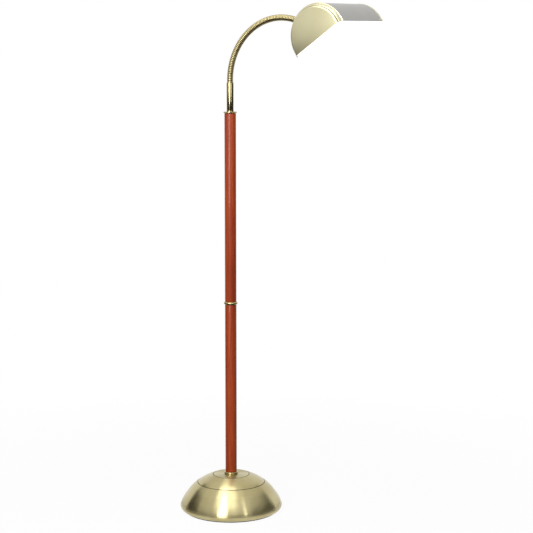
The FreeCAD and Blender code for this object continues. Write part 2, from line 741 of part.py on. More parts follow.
def neck_fittings():
    """Ferrule, seat, nipple, washer and nut, on the neck's line past the end of the hose."""
    place = neck_place(HOSE_LENGTH)
    turned(
        "neck_ferrule",
        [
            (SEAT_BORE, 0),
            (dims.sleeve_radius - dims.sleeve_edge, 0),
            (dims.sleeve_radius, dims.sleeve_edge),
            (dims.sleeve_radius, dims.ferrule_length),
            (ROD_HOLE, dims.ferrule_length),
            (ROD_HOLE, dims.hose_seat),
            (SEAT_BORE, dims.hose_seat),
        ],
        place,
    )
    seat = turned(
        "shade_seat",
        [
            (ROD_HOLE, dims.ferrule_length),
            (dims.seat_waist, dims.ferrule_length),
            (dims.seat_radius, SEAT_TOP - dims.sleeve_edge),
            (dims.seat_radius, SEAT_TOP + dims.seat_overlap),
            (ROD_HOLE, SEAT_TOP + dims.seat_overlap),
        ],
        place,
    )
    saddle = primitive("Cylinder", "seat_saddle", Radius=SKIN, Height=4 * dims.seat_radius)
    middle = FreeCAD.Vector(0, 2 * dims.seat_radius.value, dims.shade_skirt.value)
    saddle.Placement = shade_place().multiply(FreeCAD.Placement(middle, FreeCAD.Rotation(X_AXIS, 90)))
    cut_from("shade_seat", seat, saddle)
    nipple_end = dims.nipple_start + dims.nipple_length
    tube("neck_nipple", dims.rod_radius, dims.rod_bore, dims.nipple_start, nipple_end, place)
    washer = SEAT_TOP + dims.shade_wall + dims.inner_washer_gap
    nut = washer + dims.inner_washer_thickness
    tube("nipple_washer", dims.inner_washer_radius, ROD_HOLE, washer, nut, place)
    hex_nut("nipple_nut", dims.inner_nut_size, dims.inner_nut_height, nut, place)


def shade_barrel():
    """The bent sheet between the end caps, with its holes for the nipple and the switch."""
    body = new_body("shade_barrel")
    section = [
        *arch(SKIN, 0),
        (-INSIDE, 0),
        (-INSIDE, dims.shade_skirt, INSIDE, "right"),
        (0, dims.shade_skirt + INSIDE, INSIDE, "right"),
        (INSIDE, dims.shade_skirt),
        (INSIDE, 0),
    ]
    padded(body, "barrel_sheet", "XZ_Plane", [section], dims.shade_length, both_sides=True)
    body.Placement = shade_place()
    holes = []
    for name, along, radius in (
        ("nipple_hole", 0, ROD_HOLE),
        ("switch_hole", dims.switch_place.value, dims.bush_radius + dims.bush_clearance),
    ):
        hole = primitive("Cylinder", name, Radius=radius, Height=4 * dims.shade_wall)
        under = FreeCAD.Placement(Z_AXIS * (-2 * dims.shade_wall.value), FreeCAD.Rotation())
        hole.Placement = skin_place(along).multiply(under)
        holes.append(hole)
    cut_from("shade_barrel", body, compound("barrel_holes", holes))


def cap_loft(body, name, kind, sign, stations, floor):
    """A ruled loft through arched sections at (distance past the barrel's end, half width)."""
    sketches = [
        outline(body, f"{name}_{number}", "XZ_Plane", [arch(half, floor)], sign * (BARREL_HALF + out))
        for number, (out, half) in enumerate(stations)
    ]
    loft = body.newObject(f"PartDesign::{kind}", name)
    loft.Profile = sketches[0]
    loft.Sections = sketches[1:]
    loft.Ruled = True


def end_cap(label, sign):
    """A cap pressed from sheet: a rim round the barrel, a swelling band, a pressed line and a soft face."""
    body = new_body(label)
    wall, soft = dims.cap_wall, dims.cap_round
    rim, lap = SKIN + dims.cap_bead, SKIN + dims.cap_lap
    band_top = SKIN - dims.cap_shoulder
    band_foot = band_top - dims.cap_band_drop
    band_middle = band_top - dims.cap_band_drop / 2 + dims.cap_band_swell
    band_end = dims.cap_slope + dims.cap_band
    line = band_foot - dims.cap_line_depth
    face = SKIN - dims.cap_inset
    outside = [
        (-dims.cap_bead_width, rim),
        (wall / 4, rim),
        (dims.cap_slope, band_top),
        (dims.cap_slope + dims.cap_band / 2, band_middle),
        (band_end, band_foot),
        (band_end + dims.cap_line / 3, line),
        (band_end + dims.cap_line, line),
        (band_end + 4 * dims.cap_line / 3, face + soft),
        (dims.cap_depth - soft / 3, face + soft / 2),
        (dims.cap_depth, face - soft / 3),
    ]
    inside = [
        (-dims.cap_bead_width - wall, lap),
        (0, lap),
        (wall / 3, band_top - wall),
        (dims.cap_slope + dims.cap_band / 2, band_middle - wall),
        (band_end - 1.5 * wall, band_foot - wall),
        (band_end + dims.cap_line / 3 - wall, line - wall),
        (dims.cap_depth - soft / 3 - wall, face + soft / 4),
        (dims.cap_depth - wall, face - soft / 2),
    ]
    cap_loft(body, f"{label}_skin", "AdditiveLoft", sign, outside, 0)
    cap_loft(body, f"{label}_hollow", "SubtractiveLoft", sign, inside, -wall)
    body.Placement = shade_place()


def reflector():
    """The white inner sheet over the bulb, with a flange along each side and a plate at each end."""
    body = new_body("reflector")
    outer, inner = dims.reflector_half, dims.reflector_half - dims.reflector_wall
    floor = dims.reflector_floor
    brim, top, spring = INSIDE - dims.reflector_gap, floor + dims.reflector_wall, dims.shade_skirt
    section = [
        (brim, floor),
        (brim, top),
        (outer, top),
        (outer, spring, outer, "left"),
        (0, spring + outer, outer, "left"),
        (-outer, spring),
        (-outer, top),
        (-brim, top),
        (-brim, floor),
        (-inner, floor),
        (-inner, spring, inner, "right"),
        (0, spring + inner, inner, "right"),
        (inner, spring),
        (inner, floor),
    ]
    padded(body, "reflector_sheet", "XZ_Plane", [section], dims.reflector_length, both_sides=True)
    body.Placement = shade_place()
    for label, sign in (("reflector_end_near", 1), ("reflector_end_far", -1)):
        plate = new_body(label)
        start = sign * (dims.reflector_length / 2 - dims.end_plate)
        section = [arch(inner, floor)]
        padded(plate, f"{label}_sheet", "XZ_Plane", section, dims.end_plate, start, up=sign > 0)
        plate.Placement = shade_place()


def lip_loop(inset):
    """The outline of the shade's opening, drawn in by inset."""
    side, end = SKIN - inset, SKIN - dims.cap_inset - inset
    long_side, long_end = BARREL_HALF - inset / 2, BARREL_HALF + dims.cap_depth - inset
    half = [(side, -long_side), (side, long_side), (end, long_end)]
    return half + [(-x, y) for x, y in reversed(half)] + [(-end, -long_end), (end, -long_end)]


def diffuser():
    """The white plastic tray that closes the shade, with a thick rim and an upstand inside the shade."""
    body = new_body("diffuser")
    wall, inset = dims.diffuser_wall, dims.upstand_inset
    tray = padded(body, "tray", "XY_Plane", [lip_loop(dims.lip_inset)], dims.lip_drop, up=False)
    doc.recompute()
    low = [
        f"Edge{number}"
        for number, edge in enumerate(tray.Shape.Edges, 1)
        if edge.BoundBox.ZMax < tray.Shape.BoundBox.ZMin + dims.diffuser_edge.value / 2
    ]
    rounded = body.newObject("PartDesign::Fillet", "tray_edge")
    rounded.Base = (tray, low)
    follow(rounded, "Radius", dims.diffuser_edge)
    hollow = body.newObject("PartDesign::Pocket", "tray_hollow")
    opening = lip_loop(dims.lip_inset + dims.diffuser_rim)
    hollow.Profile = outline(body, "tray_hollow_outline", "XY_Plane", [opening])
    follow(hollow, "Length", dims.lip_drop - wall)
    ring = [lip_loop(inset), lip_loop(inset + wall)]
    padded(body, "upstand", "XY_Plane", ring, dims.reflector_floor - dims.upstand_gap)
    body.Placement = shade_place()


def lamp():
    """The bulb with its two bent glass tubes, the holder that it plugs into, and its clip."""
    plate = dims.reflector_length / 2 - dims.end_plate
    holder_end = plate - dims.holder_length
    cap_end = holder_end - dims.bulb_cap_length
    middle = dims.tube_height + dims.tube_layers / 2
    for label, start, end, width, height in (
        ("lamp_holder", plate, holder_end, dims.holder_width, dims.holder_height),
        ("bulb_cap", holder_end, cap_end, dims.bulb_cap_width, dims.bulb_cap_height),
    ):
        body = new_body(label)
        low, high = middle - height / 2, middle + height / 2
        section = [(-width / 2, low), (width / 2, low), (width / 2, high), (-width / 2, high)]
        block = padded(body, f"{label}_block", "XZ_Plane", [section], start - end, end)
        soften(body, block, Y_AXIS, dims.holder_corner)
        body.Placement = shade_place()
    radius, half, leg = dims.tube_radius.value, dims.tube_spacing.value / 2, dims.tube_length.value
    start = -cap_end.value
    low = dims.tube_height.value
    for number, height in enumerate((low, low + dims.tube_layers.value), 1):
        bend = Part.makeTorus(half, radius, FreeCAD.Vector(0, start + leg, height), Z_AXIS, 0, 360, 180)
        feet = [FreeCAD.Vector(x, start, height) for x in (-half, half)]
        legs = [Part.makeCylinder(radius, leg, foot, Y_AXIS) for foot in feet]
        glass = doc.addObject("Part::Feature", f"bulb_tube_{number}")
        glass.Shape = legs[0].fuse([bend, legs[1]]).removeSplitter()
        glass.Placement = shade_place()
        kept(glass, f"bulb_tube_{number}")
    gap, gauge, width = dims.reflector_gap.value, dims.clip_gauge.value, dims.clip_width.value
    inner = dims.reflector_half.value - dims.reflector_wall.value
    floor = low + dims.tube_layers.value + radius + gap
    roof = dims.shade_skirt.value + math.sqrt(inner**2 - half**2) - gap
    near = start + dims.clip_place.value
    strip = Part.makeBox(2 * half, width, gauge, FreeCAD.Vector(-half, near, floor))
    feet = [FreeCAD.Vector(x, near, floor) for x in (-half, half - gauge)]
    arms = [Part.makeBox(gauge, width, roof - floor, foot) for foot in feet]
    clip = doc.addObject("Part::Feature", "bulb_clip")
    clip.Shape = strip.fuse(arms).removeSplitter()
    clip.Placement = shade_place()
    kept(clip, "bulb_clip")


def switch():
    """The rotary switch on the shade's back, with its ring nut and its fluted knob."""
    place = skin_place(dims.switch_place.value)
    bore = dims.shaft_radius + dims.shaft_clearance
    housing, bush = dims.switch_width / 2, dims.bush_radius
    top = -dims.shade_wall - dims.switch_seat
    turned(
        "switch_body",
        [
            (0, top - dims.switch_depth),
            (housing, top - dims.switch_depth),
            (housing, top),
            (bush, top),
            (bush, dims.bush_height),
            (bore, dims.bush_height),
            (bore, -dims.shaft_depth - dims.knob_gap),
            (0, -dims.shaft_depth - dims.knob_gap),
        ],
        place,
    )
    gap = dims.shaft_clearance
    nut_bore = bush + dims.bush_clearance
    tube("switch_nut", dims.switch_nut_radius, nut_bore, gap, dims.switch_nut_height + gap, place)
    low = dims.bush_height + dims.knob_gap
    high = low + dims.knob_height
    knob = turned(
        "switch_knob",
        [
            (0, -dims.shaft_depth),
            (dims.shaft_radius, -dims.shaft_depth),
            (dims.shaft_radius, low),
            (dims.knob_radius, low),
            (dims.knob_radius, high - dims.knob_edge),
            (dims.knob_radius - dims.knob_edge, high),
            (0, high),
        ],
        place,
    )
    count = int(dims.flute_count.value)
    reach = dims.knob_radius.value + dims.flute_radius.value / 2
    flutes = []
    for turn in range(count):
        flute = primitive("Cylinder", f"flute_{turn}", Radius=dims.flute_radius, Height=dims.knob_height)
        spin = FreeCAD.Rotation(Z_AXIS, 360 * turn / count)
        spot = spin.multVec(X_AXIS * reach) + Z_AXIS * low.value
        flute.Placement = place.multiply(FreeCAD.Placement(spot, FreeCAD.Rotation()))
        flutes.append(flute)
    cut_from("switch_knob", knob, compound("knob_flutes", flutes))


# ---- build, check and write ----------------------------------------------------------

base_cover()
base_inside()
ballast()
grommet()
pole()
for number in range(int(dims.link_count.value) + 1):
    hose_length(number)
neck_fittings()
shade_barrel()
end_cap("end_cap_near", 1)
end_cap("end_cap_far", -1)
reflector()
diffuser()
lamp()
switch()
doc.recompute()

for item in doc.Objects:
    if "Invalid" in item.State or "Error" in item.State:
        raise RuntimeError(f"{item.Name} failed: {item.State}")
for piece in pieces:
    if piece.Shape.isNull() or not piece.Shape.isValid() or not piece.Shape.Solids:
        raise RuntimeError(f"{piece.Label} has no sound shape")

os.makedirs("parts", exist_ok=True)
for piece in pieces:
    piece.Shape.exportStep(f"parts/{piece.Label}.step")
    print(f"{piece.Label}: {len(piece.Shape.Solids)} solid(s), {piece.Shape.Volume / 1000:.2f} cm3")
print(f"{len(pieces)} pieces, and {HOSE_LENGTH:.1f} mm of hose")
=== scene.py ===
# Gooseneck reading floor lamp: spun brass base, stained wooden pole, ribbed neck and an arched metal shade.
import json
import math

import bmesh
import bpy
from mathutils import Matrix, Vector


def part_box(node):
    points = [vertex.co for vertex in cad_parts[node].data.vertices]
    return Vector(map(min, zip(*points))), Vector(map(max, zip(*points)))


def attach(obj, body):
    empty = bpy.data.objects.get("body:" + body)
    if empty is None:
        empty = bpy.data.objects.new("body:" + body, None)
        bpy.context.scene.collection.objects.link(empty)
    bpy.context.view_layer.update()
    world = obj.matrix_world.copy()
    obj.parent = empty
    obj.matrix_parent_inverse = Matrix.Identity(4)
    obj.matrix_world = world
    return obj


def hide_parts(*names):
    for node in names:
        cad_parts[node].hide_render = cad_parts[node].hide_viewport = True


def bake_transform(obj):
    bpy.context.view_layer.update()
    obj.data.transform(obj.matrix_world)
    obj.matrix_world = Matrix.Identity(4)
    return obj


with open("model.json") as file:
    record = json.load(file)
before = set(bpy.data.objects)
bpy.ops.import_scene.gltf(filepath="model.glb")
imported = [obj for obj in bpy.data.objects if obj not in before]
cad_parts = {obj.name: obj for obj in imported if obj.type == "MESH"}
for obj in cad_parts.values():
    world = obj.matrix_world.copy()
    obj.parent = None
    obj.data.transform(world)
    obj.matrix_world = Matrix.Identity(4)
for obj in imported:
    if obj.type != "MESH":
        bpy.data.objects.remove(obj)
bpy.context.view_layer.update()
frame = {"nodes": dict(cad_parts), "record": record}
nodes = frame["nodes"]

scene = bpy.context.scene
scene.view_settings.view_transform = "Standard"


# camera, at the photograph's angle
view = dict(turn=34.39, tilt=-6.13, place=(2.171, -3.0, 1.1138), lens=93.07, shift=-0.03, farthest=30)


def placeCamera():
    data = bpy.data.cameras.new("camera")
    data.lens = view["lens"]
    data.shift_y = view["shift"]
    data.clip_end = view["farthest"]
    camera = bpy.data.objects.new("camera", data)
    camera.location = view["place"]
    camera.rotation_euler = (math.radians(90 + view["tilt"]), 0, math.radians(view["turn"]))
    scene.collection.objects.link(camera)
    scene.camera = camera


placeCamera()


# materials
def linear(code):
    # "#rrggbb" as the linear colour that the sockets take
    parts = [int(code[place:place + 2], 16) / 255 for place in (1, 3, 5)]
    return tuple(p / 12.92 if p <= 0.04045 else ((p + 0.055) / 1.055) ** 2.4 for p in parts) + (1.0,)


def addNode(tree, kind, links=None, values=None, **settings):
    node = tree.nodes.new(kind)
    for key, value in settings.items():
        setattr(node, key, value)
    for key, value in (values or {}).items():
        node.inputs[key].default_value = value
    for key, socket in (links or {}).items():
        tree.links.new(socket, node.inputs[key])
    return node


def startMaterial(name, **values):
    # an empty material with its shader, whose constants are set on its own sockets
    material = bpy.data.materials.new(name)
    material.use_nodes = True
    tree = material.node_tree
    tree.nodes.clear()
    shader = addNode(tree, "ShaderNodeBsdfPrincipled", values=values)
    addNode(tree, "ShaderNodeOutputMaterial", links={"Surface": shader.outputs[0]})
    return material, tree, shader


def blendColours(tree, factor, stops):
    ramp = addNode(tree, "ShaderNodeValToRGB", links={"Fac": factor})
    ends = ramp.color_ramp.elements
    while len(ends) < len(stops):
        ends.new(0.5)
    for end, (place, code) in zip(ends, stops):
        end.position = place
        end.color = linear(code)
    return ramp.outputs["Color"]


def addBump(tree, shader, height, strength, distance):
    bump = addNode(
        tree, "ShaderNodeBump", links={"Height": height}, values={"Strength": strength, "Distance": distance}
    )
    tree.links.new(bump.outputs[0], shader.inputs["Normal"])


def ringPattern(tree):
    # Object coordinates folded into (distance from Z, 0, height): the same all the way round
    place = addNode(tree, "ShaderNodeTexCoord").outputs["Object"]
    flat = addNode(tree, "ShaderNodeVectorMath", links={0: place}, values={1: (1, 1, 0)}, operation="MULTIPLY")
    reach = addNode(tree, "ShaderNodeVectorMath", links={0: flat.outputs[0]}, operation="LENGTH")
    split = addNode(tree, "ShaderNodeSeparateXYZ", links={0: place})
    return addNode(
        tree, "ShaderNodeCombineXYZ", links={0: reach.outputs["Value"], 2: split.outputs["Z"]}
    ).outputs[0]


def spunBrass():
    # brass sheet spun on a lathe, brushed as it turned, aged and lacquered: fine rings round the axis
    # that smear every reflection into a fan from the top to the rim
    material, tree, shader = startMaterial(
        "antique brass, spun and brushed",
        Metallic=1.0,
        Anisotropic=0.95,
        **{"Anisotropic Rotation": 0.25, "Coat Weight": 0.06, "Coat Roughness": 0.16},
    )
    rings = ringPattern(tree)
    # brush marks are about 0.1 mm apart, drawn 1 mm apart so that they show
    marks = addNode(tree, "ShaderNodeTexNoise", links={0: rings}, values={"Scale": 1000, "Detail": 3})
    place = addNode(tree, "ShaderNodeTexCoord").outputs["Object"]
    clouds = addNode(tree, "ShaderNodeTexNoise", links={0: place}, values={"Scale": 14, "Detail": 3})
    tone = addNode(
        tree, "ShaderNodeMix", links={"A": clouds.outputs["Fac"], "B": marks.outputs["Fac"]},
        values={"Factor": 0.35},
    )
    colour = blendColours(tree, tone.outputs[0], [(0.35, "#b3a676"), (0.65, "#c9be90")])
    tree.links.new(colour, shader.inputs["Base Color"])
    rough = addNode(
        tree, "ShaderNodeMapRange", links={"Value": marks.outputs["Fac"]}, values={"To Min": 0.26, "To Max": 0.34}
    )
    tree.links.new(rough.outputs[0], shader.inputs["Roughness"])
    tangent = addNode(tree, "ShaderNodeTangent", direction_type="RADIAL", axis="Z")
    tree.links.new(tangent.outputs[0], shader.inputs["Tangent"])
    addBump(tree, shader, marks.outputs["Fac"], 0.05, 0.0002)
    return material


def plainFinish(name, dark, light, scale, bumpHeight, **values):
    # a finish whose only pattern is an even mottle of that scale
    material, tree, shader = startMaterial(name, **values)
    place = addNode(tree, "ShaderNodeTexCoord").outputs["Object"]
    mottle = addNode(tree, "ShaderNodeTexNoise", links={0: place}, values={"Scale": scale, "Detail": 4})
    colour = blendColours(tree, mottle.outputs["Fac"], [(0.3, dark), (0.7, light)])
    tree.links.new(colour, shader.inputs["Base Color"])
    if bumpHeight:
        addBump(tree, shader, mottle.outputs["Fac"], 0.2, bumpHeight)
    return material


def stainedWood():
    # beech turned on a lathe, stained red-brown and lacquered: fine grain up the pole under a thin satin lacquer
    material, tree, shader = startMaterial(
        "beech, stained and lacquered", Roughness=0.42, **{"Coat Weight": 0.15, "Specular IOR Level": 0.3}
    )
    place = addNode(tree, "ShaderNodeTexCoord").outputs["Object"]
    # grain lines lie about 1 mm apart and run for centimetres, drawn 3 mm apart so that they show
    along = addNode(tree, "ShaderNodeMapping", links={0: place}, values={"Scale": (1, 1, 0.035)})
    grain = addNode(tree, "ShaderNodeTexNoise", links={0: along.outputs[0]}, values={"Scale": 330, "Detail": 5})
    broad = addNode(tree, "ShaderNodeTexNoise", links={0: along.outputs[0]}, values={"Scale": 70, "Detail": 2})
    tone = addNode(
        tree, "ShaderNodeMix", links={"A": broad.outputs["Fac"], "B": grain.outputs["Fac"]}, values={"Factor": 0.5}
    )
    colour = blendColours(tree, tone.outputs[0], [(0.3, "#6e2008"), (0.5, "#92340d"), (0.7, "#a84714")])
    tree.links.new(colour, shader.inputs["Base Color"])
    addBump(tree, shader, grain.outputs["Fac"], 0.12, 0.0002)
    return material


def opalAcrylicPaintedGlow():
    # opal acrylic, vacuum formed, with a painted glow in place of the bulb's light behind it: an even white that hides
    # the bulb
    material, tree, shader = startMaterial(
        "opal acrylic, painted glow", Roughness=0.3, **{"Emission Strength": 0.55, "Emission Color": (1, 1, 1, 1)}
    )
    place = addNode(tree, "ShaderNodeTexCoord").outputs["Object"]
    cloud = addNode(tree, "ShaderNodeTexNoise", links={0: place}, values={"Scale": 40, "Detail": 2})
    colour = blendColours(tree, cloud.outputs["Fac"], [(0.3, "#eeeef2"), (0.7, "#f6f6f8")])
    tree.links.new(colour, shader.inputs["Base Color"])
    return material


brass = spunBrass()
# the same brass turned and polished: clear reflections, a little brown in its tone
turnedBrass = plainFinish(
    "antique brass, turned and lacquered", "#a89a6b", "#b8ac7e", 90, 0, Metallic=1.0, Roughness=0.2,
    **{"Coat Weight": 0.3, "Coat Roughness": 0.1},
)
# brass-plated wire, wound: polished on its ribs
woundBrass = plainFinish("antique brass wire, wound", "#a1946a", "#b4a87c", 200, 0, Metallic=1.0, Roughness=0.3)
# brass-plated steel pressed into a cap, under a satin lacquer: soft even reflections
pressedBrass = plainFinish(
    "satin brass, pressed and lacquered", "#cbc49d", "#d0caa5", 25, 0, Metallic=1.0, Roughness=0.3,
    **{"Coat Weight": 0.2, "Coat Roughness": 0.25},
)
# nickel-plated steel sheet, brushed to a satin: grey and soft
satinNickel = plainFinish("satin nickel sheet, bent", "#a3a29e", "#a8a7a3", 30, 0, Metallic=1.0, Roughness=0.34)
wood = stainedWood()
# the diffuser's finish, with a painted glow
opal = opalAcrylicPaintedGlow()
# zinc-plated steel hardware: pale grey with a faint bluish mottle
zincSteel = plainFinish(
    "zinc-plated steel, bright", "#9c9fa3", "#b6b8ba", 400, 0.00005, Metallic=1.0, Roughness=0.32
)
# cast iron in black paint: rough and dull
castIron = plainFinish("cast iron, painted black", "#1c1c1d", "#2b2b2c", 500, 0.0004, Roughness=0.7)
# moulded rubber: matt black, very finely grained
rubber = plainFinish("rubber, moulded", "#141414", "#202020", 700, 0.0002, Roughness=0.75)
# baked white enamel on sheet: bright and slightly glossy
whiteEnamel = plainFinish("white enamel, baked on steel", "#e9eae8", "#f2f2f0", 120, 0.00004, Roughness=0.28)
# polyester moulding: off-white, satin
lampPlastic = plainFinish("PBT, moulded white", "#dcdad3", "#e6e4de", 200, 0.00005, Roughness=0.4)
# glass tube coated inside with phosphor: milky white under a clear gloss
phosphorGlass = plainFinish(
    "glass tube, phosphor coated", "#eef0f0", "#f7f8f8", 90, 0.00001, Roughness=0.35, **{"Coat Weight": 1.0}
)
# polycarbonate case of the electronics: light grey and dull
greyCase = plainFinish("polycarbonate case, moulded grey", "#a9aaab", "#b5b6b6", 500, 0.0002, Roughness=0.5)
# phenolic moulding: black with a low sheen
blackPhenolic = plainFinish("phenolic, moulded black", "#0f0f10", "#1a1a1b", 400, 0.00008, Roughness=0.36)
# painted shade in a turned or pressed line and between two ribs, with old oxidised lacquer in the lines: brown-black
# and dull
grooveShadeAndOxide = plainFinish("brass grooves, painted shade and oxide", "#171309", "#2c2413", 500, 0, Metallic=0.6, Roughness=0.5)

finishes = dict(
    antique_brass=turnedBrass,
    hose_brass=woundBrass,
    cap_brass=pressedBrass,
    shade_nickel=satinNickel,
    steel=zincSteel,
    iron=castIron,
    pole_wood=wood,
    foot_rubber=rubber,
    reflector_white=whiteEnamel,
    diffuser_white=opal,
    lamp_plastic=lampPlastic,
    bulb_glass=phosphorGlass,
    ballast_case=greyCase,
    switch_black=blackPhenolic,
)


def dressNodes():
    # every carried-over node takes the finish of its slot in the record
    for part in frame["record"]["subparts"]:
        data = nodes[part["node"]].data
        data.materials.clear()
        data.materials.append(finishes[part["material_slot"]])


dressNodes()
print(f"materials: {len(finishes)} finishes")


# modelling steps, in millimetres until finishPiece
arcStep = math.radians(6)
weldGap = 0.001
# how far a corner may lie from the loop it is looked for on
nearly = 0.01
# degrees between two faces: a turned piece is bevelled above the first and shaded smooth below the second
sharpAbove, smoothBelow = 30, 38
turnedSteps = 72


def traceSection(bm, points):
    # a line through points (x, z) in the plane of X and Z; a third number makes the run up to that point
    # an arc of that radius, with its centre on the left of the way, or on the right if it is negative
    here = bm.verts.new((points[0][0], 0, points[0][1]))
    for x, z, *bend in points[1:]:
        if not bend:
            here = bmesh.ops.extrude_vert_indiv(bm, verts=[here])["verts"][0]
            here.co = (x, 0, z)
            continue
        start = Vector((here.co.x, here.co.z))
        half = (Vector((x, z)) - start) / 2
        aside = math.sqrt(max(bend[0] ** 2 - half.length_squared, 0))
        centre = start + half + Vector((-half.y, half.x)).normalized() * math.copysign(aside, bend[0])
        angle = 2 * math.asin(min(half.length / abs(bend[0]), 1))
        drawn = bmesh.ops.spin(
            bm, geom=[here], cent=(centre.x, 0, centre.y), axis=(0, -math.copysign(1, bend[0]), 0),
            dvec=(0, 0, 0), angle=angle, steps=max(2, round(angle / arcStep)), use_duplicate=False,
        )
        here = next(item for item in drawn["geom_last"] if isinstance(item, bmesh.types.BMVert))


def turnSection(bm, steps):
    bmesh.ops.spin(
        bm, geom=bm.verts[:] + bm.edges[:], cent=(0, 0, 0), axis=(0, 0, 1), dvec=(0, 0, 0),
        angle=math.tau, steps=steps, use_merge=True, use_duplicate=False,
    )
    bmesh.ops.remove_doubles(bm, verts=bm.verts, dist=weldGap)
    bmesh.ops.recalc_face_normals(bm, faces=bm.faces)


def softenEdges(bm, offset):
    # rounds every edge whose faces meet at more than that angle
    sharp = [edge for edge in bm.edges if edge.is_manifold and edge.calc_face_angle() > math.radians(sharpAbove)]
    bmesh.ops.bevel(
        bm, geom=sharp, offset=offset, offset_type="OFFSET", segments=2, profile=0.5, affect="EDGES", material=-1
    )


def finishPiece(bm, name, slot, standsFor, body=None, place=None, materials=None):
    # puts the mesh in place, in metres, with its finish, and lets it stand for its CAD nodes
    bmesh.ops.transform(bm, matrix=Matrix.Scale(0.001, 4) @ (place or Matrix()), verts=bm.verts)
    mesh = bpy.data.meshes.new(name)
    bm.to_mesh(mesh)
    bm.free()
    mesh.shade_smooth()
    mesh.set_sharp_from_angle(angle=math.radians(smoothBelow))
    for material in materials or [finishes[slot]]:
        mesh.materials.append(material)
    piece = bpy.data.objects.new(name, mesh)
    scene.collection.objects.link(piece)
    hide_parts(*standsFor)
    if body:
        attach(piece, body)
    return piece


# the base cover: one spun sheet, curled under at its rim, with two turned lines
cover = dict(
    rim=(126, 2.5), widest=(139.5, 16), shoulder=(120.5, 50), outerLine=(92, 78.5), innerLine=(49.5, 99.4),
    top=(19, 100), hole=(5.3, 100), curl=13.5, side=97, crown=150, wall=1.5, lineWidth=1.7, lineDepth=0.9,
    turns=160,
)


def sinkLine(bm, radius, height):
    # the loop of edges at that radius becomes a narrow groove, coloured brown-black with painted shade and old dark
    # lacquer
    near = {vert for vert in bm.verts if abs(vert.co.xy.length - radius) < nearly and abs(vert.co.z - height) < nearly}
    loop = [edge for edge in bm.edges if set(edge.verts) <= near]
    cut = bmesh.ops.bevel(
        bm, geom=loop, offset=cover["lineWidth"] / 2, offset_type="OFFSET", segments=2, profile=0.5,
        affect="EDGES", material=-1,
    )
    # the groove's faces take the brown-black finish: painted shade in the groove
    for face in cut["faces"]:
        face.material_index = 1
    middle = [vert for vert in cut["verts"] if abs(vert.co.xy.length - radius) < cover["lineWidth"] / 5]
    bmesh.ops.translate(bm, verts=middle, vec=(0, 0, -cover["lineDepth"]))


def makeCover():
    bm = bmesh.new()
    traceSection(
        bm,
        [
            cover["rim"],
            (*cover["widest"], cover["curl"]),
            (*cover["shoulder"], cover["side"]),
            (*cover["outerLine"], cover["side"]),
            (*cover["innerLine"], cover["crown"]),
            cover["top"],
            cover["hole"],
        ],
    )
    turnSection(bm, cover["turns"])
    sinkLine(bm, *cover["outerLine"])
    sinkLine(bm, *cover["innerLine"])
    bmesh.ops.solidify(bm, geom=bm.faces, thickness=cover["wall"])
    finishPiece(bm, "baseCover", "antique_brass", ["base_cover"], "stand", materials=[brass, grooveShadeAndOxide])


# turned brass and wood on the pole, each a closed half section (radius, height)
collar = dict(radius=19, edge=2.2)
ring = dict(radius=18.8, bead=4.0)
flange = dict(foot=16.4, radius=18.75, edge=1.4, flare=6)
sleeve = dict(radius=9.45, bore=8.6, seat=10, edge=0.6)
pole = dict(radius=15.5, chamfer=0.5, bore=8.3)
rodHole = 5.3


def heights(node):
    low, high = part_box(node)
    return low.z * 1000, high.z * 1000


def makeTurned(name, slot, node, section, soften=0.25):
    bm = bmesh.new()
    traceSection(bm, section + section[:1])
    turnSection(bm, turnedSteps)
    softenEdges(bm, soften)
    return finishPiece(bm, name, slot, [node], "stand")


def makePole():
    low, high = heights("foot_collar")
    edge = collar["edge"]
    makeTurned(
        "footCollar", "antique_brass", "foot_collar",
        [
            (rodHole, low), (collar["radius"], low), (collar["radius"], high - edge),
            (collar["radius"] - edge, high, edge), (rodHole, high),
        ],
    )
    for name, node in (("lowerPole", "lower_pole"), ("upperPole", "upper_pole")):
        low, high = heights(node)
        cut = pole["chamfer"]
        makeTurned(
            name, "pole_wood", node,
            [
                (pole["bore"], low), (pole["radius"] - cut, low), (pole["radius"], low + cut),
                (pole["radius"], high - cut), (pole["radius"] - cut, high), (pole["bore"], high),
            ],
        )
    low, high = heights("middle_ring")
    bead = ring["bead"]
    makeTurned(
        "middleRing", "antique_brass", "middle_ring",
        [
            (pole["bore"], low), (ring["radius"] - bead, low), (ring["radius"], low + bead, bead),
            (ring["radius"] - bead, high, bead), (pole["bore"], high),
        ],
    )
    low, high = heights("top_collar")
    makeTurned(
        "topCollar", "antique_brass", "top_collar",
        [
            (rodHole, low), (flange["foot"], low), (flange["radius"], high - 2 * flange["edge"], -flange["flare"]),
            (flange["radius"], high - flange["edge"]), (sleeve["radius"], high), (rodHole, high),
        ],
    )
    low, high = heights("neck_sleeve")
    makeTurned(
        "neckSleeve", "antique_brass", "neck_sleeve",
        [
            (rodHole, low), (sleeve["radius"], low), (sleeve["radius"], high - sleeve["edge"]),
            (sleeve["radius"] - sleeve["edge"], high), (sleeve["bore"], high),
            (sleeve["bore"], high - sleeve["seat"]), (rodHole, high - sleeve["seat"]),
        ],
        soften=0.15,
    )


# the flexible neck: wound wire in twelve stretches along the neck's bend
hose = dict(
    crest=8.3, valley=7.5, bore=4.2, pitch=4.65, groove=0.7, ribs=6, stretches=12, seat=10, lead=6.5, bend=159,
    sweep=108.55, around=44, boreSteps=8, ease=0.04,
)
stretch = hose["ribs"] * hose["pitch"]
sweep = math.radians(hose["sweep"])
neckEnd = Vector((math.sin(sweep), 0, math.cos(sweep)))
neckFoot = heights("neck_sleeve")[1]


def neckPlace(along):
    # the place that far along the neck's centre line, with Z along it
    lead, bend = hose["lead"], hose["bend"]
    turn = min(max((along - lead) / bend, 0), sweep)
    foot = Vector((0, 0, neckFoot + min(along, lead)))
    arc = Vector((bend * (1 - math.cos(turn)), 0, bend * math.sin(turn)))
    out = neckEnd * max(along - lead - bend * sweep, 0)
    return Matrix.Translation(foot + arc + out) @ Matrix.Rotation(turn, 4, "Y")


